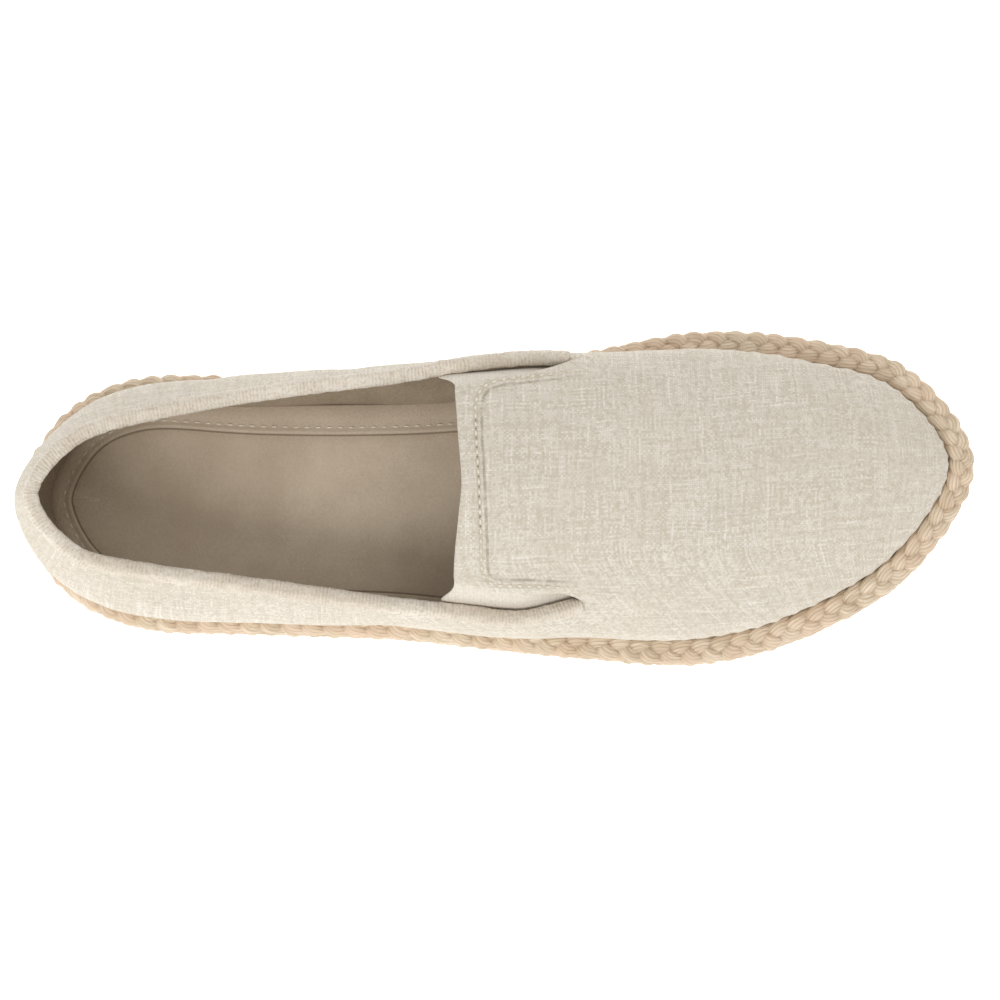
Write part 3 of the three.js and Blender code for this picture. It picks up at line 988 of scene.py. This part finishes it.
# Soft creases, each a trough or ridge from one place to another in plan: the shoe's own
# sizes in millimetres. deep is above zero for a ridge.
CREASES = [
    {"from": (18.6, 24.0), "to": (21.6, 16.0), "wide": 1.7, "deep": 0.4},
    {"from": (20.8, 24.5), "to": (24.0, 16.0), "wide": 1.9, "deep": -0.35},
    {"from": (26, -27), "to": (31, -17), "wide": 4.0, "deep": -0.5},
    {"from": (48, 34), "to": (62, 20), "wide": 7.0, "deep": -0.45},
    {"from": (52, -33), "to": (66, -18), "wide": 8.0, "deep": -0.45},
    {"from": (84, 28), "to": (96, 14), "wide": 7.0, "deep": -0.4},
    {"from": (92, -12), "to": (100, 2), "wide": 6.0, "deep": -0.35},
    {"from": (30, -8), "to": (34, 14), "wide": 9.0, "deep": -0.35},
    {"from": (12, -14), "to": (16, 12), "wide": 7.0, "deep": 0.3},
    {"from": (-70, -33), "to": (-58, -27), "wide": 6.0, "deep": -0.6},
    {"from": (-34, -35), "to": (-26, -31), "wide": 6.0, "deep": -0.5},
    {"from": (-44, 34), "to": (-36, 29), "wide": 7.0, "deep": -0.6},
    {"from": (-80, 31), "to": (-74, 24), "wide": 6.0, "deep": -0.5},
]
CREASE_ENDS = 0.15               # how soon a crease fades towards its ends
PUCKER_SPACING = 6.0 * MM        # gathers where the linen is sewn down beside the rope
PUCKER_DRIFT = 2.0               # how uneven that spacing is, and how fast it changes
PUCKER_DRIFT_RATE = 60
PUCKER_FOOT = 5 * MM             # footbed's floor up to where they start
PUCKER_FULL = 2.5 * MM           # from there up to where they are deepest
PUCKER_REACH = 9.0 * MM          # and up to where they end
PUCKER_DEPTH = 0.28 * MM
PUCKER_AT_HEEL = 0.35            # share of that depth behind the instep
DRIFT = 0.4 * MM                 # uneven lie of the cloth
DRIFT_WAVES = (38.0, 95.0, 0.5)
HEM_FROM_EDGE = 2.6 * MM         # middle of the fold along the opening
HEM_WIDE = 2.0 * MM
HEM_DEPTH = 0.3 * MM


def crease_depth(points):
    total = np.zeros(len(points))
    for crease in CREASES:
        start = np.array(crease["from"]) * MM
        run = np.array(crease["to"]) * MM - start
        share = np.clip((points[:, :2] - start) @ run / (run @ run), 0, 1)
        gap = np.linalg.norm(points[:, :2] - start - share[:, None] * run, axis=1)
        ends = np.sin(math.pi * (CREASE_ENDS + (1 - 2 * CREASE_ENDS) * share))
        total += crease["deep"] * MM * ends * hump(gap, crease["wide"] * MM)
    return total


def pucker_depth(points):
    """Small gathers above the rope, stronger round the toe."""
    around, _ = EDGE.nearest(points)
    above = points[:, 2] - (FLOOR_BED + PUCKER_FOOT + EDGE.rise(points[:, 0]))
    gathers = np.sin(around * FULL_TURN / PUCKER_SPACING
                     + PUCKER_DRIFT * np.sin(around * PUCKER_DRIFT_RATE))
    fade = ease(above, -1 * MM, PUCKER_FULL) * (1 - ease(above, PUCKER_FULL, PUCKER_REACH))
    toe_side = ease(points[:, 0], -20 * MM, 20 * MM)
    strength = PUCKER_AT_HEEL + (1 - PUCKER_AT_HEEL) * toe_side
    return gathers * fade * PUCKER_DEPTH * strength


TAB_BACK = -10 * MM              # where the tab's back edge and the slits begin
RIDGE_STEP = 4 * MM
RIDGE_REACH = 2.5 * MM
RIDGE_LINE = [(-10, 0.5), (56, 3.2), (97, 7.8)]   # the vamp's ridge in plan, in millimetres
RIDGE_SOFT = 14 * MM             # beside the ridge, where the drop isn't counted yet
ROUNDNESS = 1.53                 # power that makes drop and reach add up like an arc
BIAS_START = 20 * MM             # how far from the ridge the lateral side turns on the bias
BIAS_EASE = 12 * MM
BIAS_AT_JOINT = 18 * MM          # how far the bias has drawn the lateral side's threads back
TOE_TIP_TOP = 34 * MM            # below this height the toe's tip turns down
TOE_TIP_FROM, TOE_TIP_TO = 60 * MM, 112 * MM
THREAD_SLIP = 0.9                # how much of a turn the threads follow
QUARTER_JOINT = -12 * MM         # where the quarters' threads meet the vamp's
QUARTER_BLEND = 32 * MM
JOINT_LATERAL, JOINT_MEDIAL = -36 * MM, 34 * MM   # the walls' places there
WALL_TOP = 80 * MM


def ridge_heights(points):
    """Height of a piece's top line against x, from the tab's back edge on."""
    marks = np.arange(TAB_BACK, points[:, 0].max(), RIDGE_STEP)
    tops = [points[np.abs(points[:, 0] - mark) < RIDGE_REACH, 2].max() for mark in marks]
    return marks, np.array(tops)


def over_vamp(points, out):
    """Threads along and across the shoe, laid down over the vamp from its ridge."""
    ridge_x, ridge_y = np.array(RIDGE_LINE).T * MM
    aside = points[:, 1] - np.interp(points[:, 0], ridge_x, ridge_y)
    drop = np.maximum(np.interp(points[:, 0], *ridge_heights(points)) - points[:, 2], 0)
    drop = drop * ease(np.abs(aside), 0, RIDGE_SOFT)
    reach = (np.abs(aside) ** ROUNDNESS + drop ** ROUNDNESS) ** (1 / ROUNDNESS)
    beyond = np.maximum(-np.sign(aside) * reach - BIAS_START, 0)
    bias = THREAD_SLIP * beyond ** 2 / (beyond + BIAS_EASE)
    facing = np.clip(out[:, 0], 0, 1) * ease(points[:, 0], TOE_TIP_FROM, TOE_TIP_TO)
    tip = facing * THREAD_SLIP * np.maximum(TOE_TIP_TOP - points[:, 2], 0)
    return points[:, 0] + tip - bias * (1 - facing), np.sign(aside) * reach


def round_quarter(points, distance, lateral):
    """Threads along the edge and up the wall, with a join at the back of the heel."""
    joint = QUARTER_JOINT
    at_joint, _ = EDGE.nearest([(joint, JOINT_LATERAL, 0), (joint, JOINT_MEDIAL, 0)])
    half = EDGE.length / 2
    on_lateral = np.where(distance > half, distance - EDGE.length, distance)
    on_medial = np.where(distance < half, distance + EDGE.length, distance)
    along = np.where(lateral, joint - BIAS_AT_JOINT - (at_joint[0] - on_lateral),
                     joint - (on_medial - at_joint[1]))
    return along, np.where(lateral, -1.0, 1.0) * (WALL_TOP - points[:, 2])


def weave_map(piece):
    """Lays the cloth's threads over the vamp and round the quarters."""
    points = positions(piece)
    distance, out = EDGE.nearest(points)
    mesh = piece.data
    corner = np.empty(len(mesh.loops), int)
    mesh.loops.foreach_get("vertex_index", corner)
    centres = np.empty(len(mesh.polygons) * 3)
    mesh.polygons.foreach_get("center", centres)
    sides = np.array([len(face.loop_indices) for face in mesh.polygons])
    around, _ = EDGE.nearest(centres.reshape(-1, 3))
    lateral = np.repeat(around < EDGE.length / 2, sides)
    front = np.stack(over_vamp(points, out), -1)[corner]
    back = np.stack(round_quarter(points[corner], distance[corner], lateral), -1)
    share = ease(points[corner, 0], QUARTER_JOINT - QUARTER_BLEND, QUARTER_JOINT)
    if not mesh.uv_layers:
        mesh.uv_layers.new(name="UVMap")
    mesh.uv_layers[0].name = "UVMap"
    threads = back + (front - back) * share[:, None]
    mesh.uv_layers[0].data.foreach_set("uv", threads.reshape(-1))


# The seam that holds the tab's hem, from the medial slit's end by the back to the lateral's,
# in plan: the shoe's own sizes in millimetres.
TAB_SEAM = [
    (25.5, 30.8), (18, 28.8), (9, 27.4), (1.5, 26.6), (-2.2, 25.2), (-3.8, 22.0), (-3.6, 12),
    (-2.9, 0), (-2.4, -12), (-2.1, -22.6), (-1.7, -24.0), (-0.4, -24.4), (12, -24.5),
    (22, -24.8),
]
FINE_SPACING = 0.5 * MM
SEAM_ROUNDING = 10
SEAM_REACH = 5 * MM              # how far off the seam its distance is kept
SEWN_TO, SEWN_GONE = 12 * MM, 23 * MM  # the seam fades between these, towards the toe
ABOVE_SHOE = 100 * MM


def laid_down(row, surface):
    """A row of plan places, rounded and dropped onto a surface from above."""
    flat = np.array([(x * MM, y * MM, ABOVE_SHOE) for x, y in row])
    flat = softened(even(flat, FINE_SPACING), SEAM_ROUNDING)
    down = Vector((0, 0, -1))
    return np.array([tuple(surface.ray_cast(Vector(point), down)[0]) for point in flat])


def make_upper():
    """The linen shell: the CAD form smoothed, its lining named, and its creases pressed in."""
    piece = cad_copy("upper", "Linen_upper")
    mesh = bmesh.new()
    mesh.from_mesh(piece.data)
    outer, inner = skins(mesh)[:2]
    for face in mesh.faces:
        face.material_index = 1 if face in inner else 0
    tab, collar = split_opening(opening_loop(outer))
    finish_piece(piece, "linen", [LINEN, LINING], "upper")
    mesh.to_mesh(piece.data)
    mesh.free()
    smooth(piece, 2)
    points = positions(piece)
    _, from_edge = nearest(even(tab, FINE_SPACING), points)
    depth = (crease_depth(points) + pucker_depth(points)
             + ripple(points, *DRIFT_WAVES) * DRIFT
             + hump(from_edge - HEM_FROM_EDGE, HEM_WIDE) * HEM_DEPTH)
    place_points(piece, points + normals(piece) * depth[:, None])
    seam = laid_down(TAB_SEAM, surface_of(piece))
    points = positions(piece)
    store(piece, "from_seam", signed_distance(points, seam, SEAM_REACH))
    store(piece, "sewn", 1 - ease(points[:, 0], SEWN_TO, SEWN_GONE))
    weave_map(piece)
    return piece, tab, collar, seam


UPPER, TAB_EDGE, COLLAR_EDGE, SEAM = make_upper()


# ---- Gores and binding ----
GORE_LEAN = 0.75, 0.66           # out to the side and up, towards the tab's underside
GORE_PUSH = 1.7 * MM             # how far the gore's upper part leans that way
GORE_FOOT = 5.5 * MM             # from its foot up, where the lean starts
GORE_LAP = 3 * MM                # how much further its top runs up under the tab
GORE_LAP_FROM, GORE_LAP_TO = -5 * MM, -0.5 * MM   # heights about its own top line
GORE_BACK = {"gore_lateral": 4 * MM, "gore_medial": 5 * MM}   # low corner, behind the tab
GORE_BACK_REACH = 12 * MM
GORE_TOP_LINE = 2 * MM           # below its top, where lean and corner are complete
GORE_CORNER_TOP = 9 * MM
SLIT_ENDS = {"lateral": TAB_EDGE[0], "medial": TAB_EDGE[-1]}
FUZZ = 0.2 * MM                  # depth of the tape's brushed face
FUZZ_WAVES = (700.0, 240.0, 0.7)
TAPE_SPACING = 0.3 * MM
TAPE_END = 2 * MM                # this near a slit's tip the tape is its own end
TAPE_DRAWN = 0.55                # share of the way from that end to the slit's tip
TAPE_DRAWN_FROM, TAPE_DRAWN_TO = 2.5 * MM, 9 * MM


def make_gore(node, name):
    """Elastic that rises to the underside of the tab and drops behind the collar band."""
    piece = cad_copy(node, name)
    smooth(piece, 2)
    points = positions(piece)
    low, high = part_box(node)
    side = 1.0 if low.y > 0 else -1.0
    out, up = GORE_LEAN
    leaning = ease(points[:, 2], low.z + GORE_FOOT, high.z - GORE_TOP_LINE) * GORE_PUSH
    top = np.interp(points[:, 0], *ridge_heights(points))
    lapping = ease(points[:, 2] - top, GORE_LAP_FROM, GORE_LAP_TO) * GORE_LAP
    points = (points + np.array([0, side * out, up]) * leaning[:, None]
              + np.array([0, -side * out, up]) * lapping[:, None])
    at_back = 1 - ease(points[:, 0], low.x, low.x + GORE_BACK_REACH)
    below = 1 - ease(points[:, 2], high.z - GORE_CORNER_TOP, high.z - GORE_TOP_LINE)
    points[:, 0] -= GORE_BACK[node] * at_back * below
    place_points(piece, points)
    return finish_piece(piece, "elastic", [ELASTIC], node)


def make_binding():
    """The folded tape, with a fuzzy face and its place along the collar kept for its ribs."""
    piece = cad_copy("collar_binding", "Collar_band")
    smooth(piece, 3)
    points = positions(piece)
    points = points + normals(piece) * (ripple(points, *FUZZ_WAVES) * FUZZ)[:, None]
    for tip in SLIT_ENDS.values():
        gap = np.linalg.norm(points - tip, axis=1)
        ending = points[gap < gap.min() + TAPE_END].mean(axis=0)
        drawn = TAPE_DRAWN * (1 - ease(gap, TAPE_DRAWN_FROM, TAPE_DRAWN_TO))
        points = points + (tip - ending) * drawn[:, None]
    place_points(piece, points)
    row = even(COLLAR_EDGE, TAPE_SPACING)
    which, _ = nearest(row, positions(piece))
    store(piece, "along", which * TAPE_SPACING)
    return finish_piece(piece, "binding", [BINDING], "collar_binding")


make_gore("gore_lateral", "Elastic_gore_lateral")
make_gore("gore_medial", "Elastic_gore_medial")
make_binding()


# ---- Stitching ----
THREAD_SIDES = 8
THREAD_RINGS = 6
THREAD_TAPER = 0.25              # share by which a stitch thins to its ends
THREAD_FLAT = 0.8                # its height to its width
THREAD_SUNK = 0.25               # its middle above the cloth, in radii
LOOK_AHEAD = 0.3 * MM
STITCH_ROW_SPACING = 0.4 * MM
BESIDE_SPACING = 0.6 * MM
BESIDE_ROUNDING = 4
# Each kind of stitch: its step along the row, its length and its radius.
TAB_STITCH = (2.6 * MM, 1.7 * MM, 0.34 * MM)
NEEDLE_HOLE = (2.6 * MM, 0.8 * MM, 0.28 * MM)
SLIT_STITCH = (1.7 * MM, 1.3 * MM, 0.26 * MM)
BED_STITCH = (3.0 * MM, 2.1 * MM, 0.3 * MM)
HOLES_MIDDLE = 3 * MM            # the needle holes' painted shade shows in the middle of the tab's back row
HOLES_REACH = 14 * MM
SLIT_ARC_RADIUS = 5.0 * MM
SLIT_ARC_SPREAD = 70             # degrees to each side of straight ahead
BED_ROW_COLUMNS = 800
OUTER = surface_of(UPPER)


def from_lowest(face):
    """A face's corners in their own turn, the lowest number first."""
    start = face.index(min(face))
    return face[start:] + face[:start]


def stitch_pattern():
    """One stitch of unit size, along X: a ball that thins to its ends."""
    deselect()
    bpy.ops.mesh.primitive_uv_sphere_add(segments=THREAD_SIDES, ring_count=THREAD_RINGS,
                                         radius=1.0)
    pattern = bpy.context.object
    shape = positions(pattern)
    faces = sorted(from_lowest(tuple(face.vertices)) for face in pattern.data.polygons)
    bpy.data.objects.remove(pattern)
    return shape * (1 - THREAD_TAPER * np.abs(shape[:, :1]) ** 2), faces


STITCH_SHAPE, STITCH_FACES = stitch_pattern()


def stitch_row(name, row, kind, surface, slot, material=THREAD, first=0.5, within=None):
    """Short threads along a row on a surface, the first this share of a step along."""
    step, length, radius = kind
    row = even(row, STITCH_ROW_SPACING)
    marks = travelled(row)
    points, faces = [], []
    for at in np.arange(step * first, marks[-1], step):
        here = Vector(read_off(row, marks, at))
        ahead = Vector(read_off(row, marks, at + LOOK_AHEAD))
        spot, normal, _, _ = surface.find_nearest(here)
        if within and not within(spot):
            continue
        along = (ahead - here).normalized()
        normal = (normal - along * normal.dot(along)).normalized()
        side = normal.cross(along)
        base = len(points)
        for x, y, z in STITCH_SHAPE:
            points.append(spot + along * (x * length / 2) + side * (y * radius)
                          + normal * (z * radius * THREAD_FLAT + radius * THREAD_SUNK))
        faces += [tuple(base + corner for corner in face) for face in STITCH_FACES]
    piece = built(name, points, faces)
    shade_smooth(piece)
    return finish_piece(piece, slot, [material])


def beside_row(row, surface, gap):
    """A row that keeps this gap from another over the surface, on its inner side."""
    row = even(row, BESIDE_SPACING)
    ahead = unit(np.gradient(row, axis=0))
    moved = []
    for point, along in zip(row, ahead):
        _, normal, _, _ = surface.find_nearest(Vector(point))
        moved.append(point + np.cross(normal, along) * gap)
    return laid_on(surface, softened(np.array(moved), BESIDE_ROUNDING))


def in_middle(spot):
    return spot.x < 0 and abs(spot.y - HOLES_MIDDLE) < HOLES_REACH


def arc_round(end):
    """Points on an arc in front of a slit's end, laid on the upper."""
    turns = np.radians(np.linspace(-SLIT_ARC_SPREAD, SLIT_ARC_SPREAD, 24))
    arc = np.stack([np.cos(turns), np.sin(turns), np.zeros(len(turns))], -1)
    return laid_on(OUTER, end + SLIT_ARC_RADIUS * arc)


def make_stitching():
    """The tab's row, an arc round the end of each slit, and the row round the footbed."""
    tab_row = beside_row(SEAM, OUTER, -STITCH_FROM_SEAM)
    stitch_row("Tab_stitches", tab_row, TAB_STITCH, OUTER, "linen")
    # Small dark pieces that paint the shade of the needle holes.
    stitch_row("Tab_needle_hole_shade", tab_row, NEEDLE_HOLE, OUTER, "linen", HOLE_SHADE, 1.0,
               in_middle)
    for name, end in SLIT_ENDS.items():
        stitch_row(f"Slit_stitches_{name}", arc_round(end), SLIT_STITCH, OUTER, "linen")
    width = border_width(EDGE.steps(BED_ROW_COLUMNS))
    row = sole_ring(BED_EDGE + width - STITCH_FROM_RIM, FLOOR_BED + BED_TOP,
                    BED_ROW_COLUMNS)
    stitch_row("Footbed_stitches", row, BED_STITCH, surface_of(FOOTBED), "suede")


make_stitching()


# ---- Loose fibres of the rope ----
HAIR_COUNT = 170
HAIR_RADIUS = 0.06 * MM
HAIR_TAPER = 0.7
HAIR_STEPS = 5
HAIR_SIDES = 3
HAIR_CURL = 0.22
HAIR_INSET = (0.3, 4.0)          # in millimetres, from the sole's edge
HAIR_HEIGHT = (0.5, 2.6)         # above the row's middle
HAIR_LENGTH = (1.5, 4.5)


def loose_hairs():
    """Fine jute hairs that stand off the upper rope row."""
    rng = random.Random(7)
    points, faces = [], []
    for _ in range(HAIR_COUNT):
        spot, out = EDGE.sample(np.array([rng.random() * EDGE.length]))
        out = Vector(out[0])
        ahead = Vector((-out.y, out.x, 0)) * rng.choice((-1, 1))
        here = Vector(spot[0]) - out * rng.uniform(*HAIR_INSET) * MM
        here.z += BRAID_HIGH + rng.uniform(*HAIR_HEIGHT) * MM
        going = (ahead * rng.uniform(0.4, 1) + out * rng.uniform(-0.2, 0.9)
                 + Vector((0, 0, rng.uniform(0.0, 0.6)))).normalized()
        curl = Vector((rng.uniform(-1, 1), rng.uniform(-1, 1), rng.uniform(-0.6, 0.3)))
        length = rng.uniform(*HAIR_LENGTH) * MM
        base = len(points)
        for step in range(HAIR_STEPS + 1):
            side = going.cross(Vector((0, 0, 1))).normalized()
            over = side.cross(going)
            thin = HAIR_RADIUS * (1 - HAIR_TAPER * step / HAIR_STEPS)
            for corner in range(HAIR_SIDES):
                turn = FULL_TURN * corner / HAIR_SIDES
                points.append(here + (side * math.cos(turn) + over * math.sin(turn)) * thin)
            here = here + going * length / HAIR_STEPS
            going = (going + curl * HAIR_CURL).normalized()
        for step in range(HAIR_STEPS):
            for corner in range(HAIR_SIDES):
                a = base + step * HAIR_SIDES + corner
                b = base + step * HAIR_SIDES + (corner + 1) % HAIR_SIDES
                faces.append((a, b, b + HAIR_SIDES, a + HAIR_SIDES))
        tip = base + HAIR_STEPS * HAIR_SIDES
        faces += [(base + 2, base + 1, base), (tip, tip + 1, tip + 2)]
    piece = built("Rope_hairs", points, faces)
    edit(piece, face_out)
    finish_piece(piece, "jute_braid", [JUTE])


loose_hairs()


# ---- Floor, light and camera ----
FLOOR_SIZE = 6.0
FLOOR_BELOW = -0.05 * MM
LAMPS_AIM = Vector((0, 0, 0.02))
WHITE = (1.0, 1.0, 1.0, 1.0)


def make_floor():
    deselect()
    bpy.ops.mesh.primitive_plane_add(size=FLOOR_SIZE, location=(0, 0, FLOOR_BELOW))
    floor = bpy.context.object
    floor.name = "Floor"
    material = bpy.data.materials.new("White_floor")
    material.use_nodes = True
    sockets = material.node_tree.nodes["Principled BSDF"].inputs
    sockets["Base Color"].default_value = (0.95, 0.95, 0.95, 1.0)
    sockets["Roughness"].default_value = 0.9
    sockets["Emission Color"].default_value = WHITE
    sockets["Emission Strength"].default_value = 0.8
    floor.data.materials.append(material)


def add_softbox(name, place, size, power):
    """A rectangular soft lamp at this place, turned to the shoe."""
    data = bpy.data.lights.new(name, "AREA")
    data.shape = "RECTANGLE"
    data.size, data.size_y = size
    data.energy = power
    light = add_object(name, data)
    light.location = place
    light.rotation_euler = (LAMPS_AIM - Vector(place)).to_track_quat("-Z", "Y").to_euler()


def add_camera():
    data = bpy.data.cameras.new("Camera")
    data.sensor_width = SENSOR
    data.lens = SENSOR * VIEW_SCALE * VIEW_DISTANCE / VIEW_SIZE
    data.clip_start = 0.05
    camera = add_object("Camera", data)
    away = Vector((0, -math.sin(VIEW_TILT), math.cos(VIEW_TILT)))
    camera.location = VIEW_AIM + away * VIEW_DISTANCE
    camera.rotation_euler = (VIEW_TILT, 0, 0)
    bpy.context.scene.camera = camera


def add_world():
    world = bpy.data.worlds.new("Studio")
    world.use_nodes = True
    background = world.node_tree.nodes["Background"].inputs
    background["Color"].default_value = WHITE
    background["Strength"].default_value = 0.66
    bpy.context.scene.world = world


make_floor()
add_softbox("Key", place=(-0.35, -0.75, 1.1), size=(0.8, 0.6), power=8.0)
add_softbox("Fill", place=(0.6, 0.7, 1.0), size=(0.9, 0.9), power=2.5)
add_world()
add_camera()
bpy.context.scene.view_settings.view_transform = "Standard"
